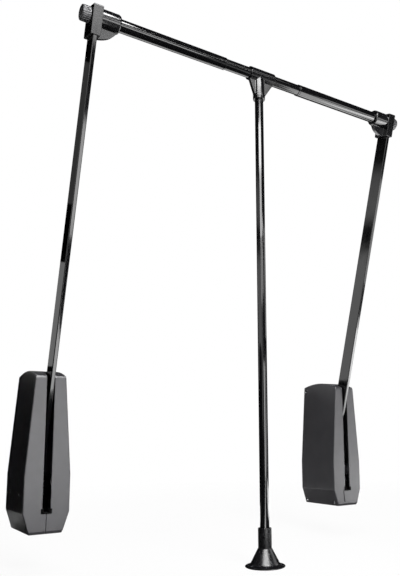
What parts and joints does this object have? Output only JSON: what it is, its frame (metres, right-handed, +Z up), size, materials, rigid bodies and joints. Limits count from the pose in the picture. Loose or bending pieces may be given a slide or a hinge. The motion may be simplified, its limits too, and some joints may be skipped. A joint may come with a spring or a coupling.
{
  "type": "pull down closet rod",
  "caption": "Pull down closet rod: spring housings carry lift arms, a telescopic rail and a hanging pull handle.",
  "frame": {"origin": "middle of the left housing's flat on the cabinet's side", "axes": "+X across the cabinet to the right housing, -Y out of the cabinet to the room, +Z up"},
  "size_m": [0.74, 0.3135, 0.9143],
  "materials": {
    "housing_plastic": "satin charcoal moulding",
    "gloss_black_steel": "gloss black coated tube",
    "black_moulding": "satin black moulding",
    "knob_grip": "fluted dark grey grip",
    "rubber": "black stop rubber",
    "zinc_steel": "zinc plated",
    "spring_steel": "oiled spring wire"
  },
  "bodies": {
    "left_housing": {"left_outer_shell": "housing_plastic", "left_inner_shell": "housing_plastic", "left_housing_screw_1": "zinc_steel", "left_housing_screw_2": "zinc_steel", "left_housing_screw_3": "zinc_steel", "left_mounting_plate": "zinc_steel", "left_stop_buffer": "rubber", "left_axle": "zinc_steel", "left_damper": "black_moulding", "left_spring_anchor": "zinc_steel", "left_lift_spring": "spring_steel", "left_top_pad": "rubber"},
    "left_frame": {"left_arm_hub": "zinc_steel", "left_pivot_bush": "black_moulding", "left_crank_pin": "zinc_steel", "left_arm": "gloss_black_steel", "left_corner_bracket": "black_moulding", "left_rail_tube": "gloss_black_steel", "left_rail_bush": "black_moulding"},
    "left_knob": {"left_end_knob": "knob_grip"},
    "right_housing": {"right_outer_shell": "housing_plastic", "right_inner_shell": "housing_plastic", "right_housing_screw_1": "zinc_steel", "right_housing_screw_2": "zinc_steel", "right_housing_screw_3": "zinc_steel", "right_mounting_plate": "zinc_steel", "right_stop_buffer": "rubber", "right_axle": "zinc_steel", "right_damper": "black_moulding", "right_spring_anchor": "zinc_steel", "right_lift_spring": "spring_steel", "right_top_pad": "rubber", "right_seam_tab": "housing_plastic"},
    "right_frame": {"right_arm_hub": "zinc_steel", "right_pivot_bush": "black_moulding", "right_crank_pin": "zinc_steel", "right_arm": "gloss_black_steel", "right_corner_bracket": "black_moulding", "right_rail_tube": "gloss_black_steel", "right_rail_bush": "black_moulding"},
    "right_knob": {"right_end_knob": "knob_grip"},
    "rail_middle": {"middle_rail_tube": "gloss_black_steel"},
    "handle": {"tee_connector": "black_moulding", "handle_tube": "gloss_black_steel", "handle_bell": "black_moulding", "bell_cap": "black_moulding"}
  },
  "joints": [
    {"name": "arm_swing", "type": "hinge", "parent": "left_housing", "child": "left_frame", "pos_m": [0.0385, 0.0023, 0.00745], "axis": [1, 0, 0], "range_deg": [0, 92], "stiffness_Nm_per_rad": 8, "springref_deg": -34.38, "deforming": ["left_lift_spring"]},
    {"name": "left_telescope", "type": "slide", "parent": "left_frame", "child": "rail_middle", "axis": [1, 0, 0], "range_m": [-0.05, 0.04]},
    {"name": "right_telescope", "type": "slide", "parent": "rail_middle", "child": "right_frame", "axis": [1, 0, 0], "range_m": [-0.05, 0.04]},
    {"name": "handle_swivel", "type": "hinge", "parent": "rail_middle", "child": "handle", "pos_m": [0.362, -0.22194, 0.76933], "axis": [1, 0, 0], "continuous": true},
    {"name": "right_pivot", "type": "hinge", "parent": "right_frame", "child": "right_housing", "pos_m": [0.7015, 0.0023, 0.00745], "axis": [1, 0, 0], "range_deg": [-92, 0], "deforming": ["right_lift_spring"]},
    {"name": "left_knob_turn", "type": "hinge", "parent": "left_frame", "child": "left_knob", "pos_m": [0.02, -0.22194, 0.76933], "axis": [1, 0, 0], "continuous": true},
    {"name": "right_knob_turn", "type": "hinge", "parent": "right_frame", "child": "right_knob", "pos_m": [0.72, -0.22194, 0.76933], "axis": [1, 0, 0], "continuous": true}
  ],
  "couplings": [
    {"joint": "right_pivot", "follows": "arm_swing", "ratio": -1}
  ]
}
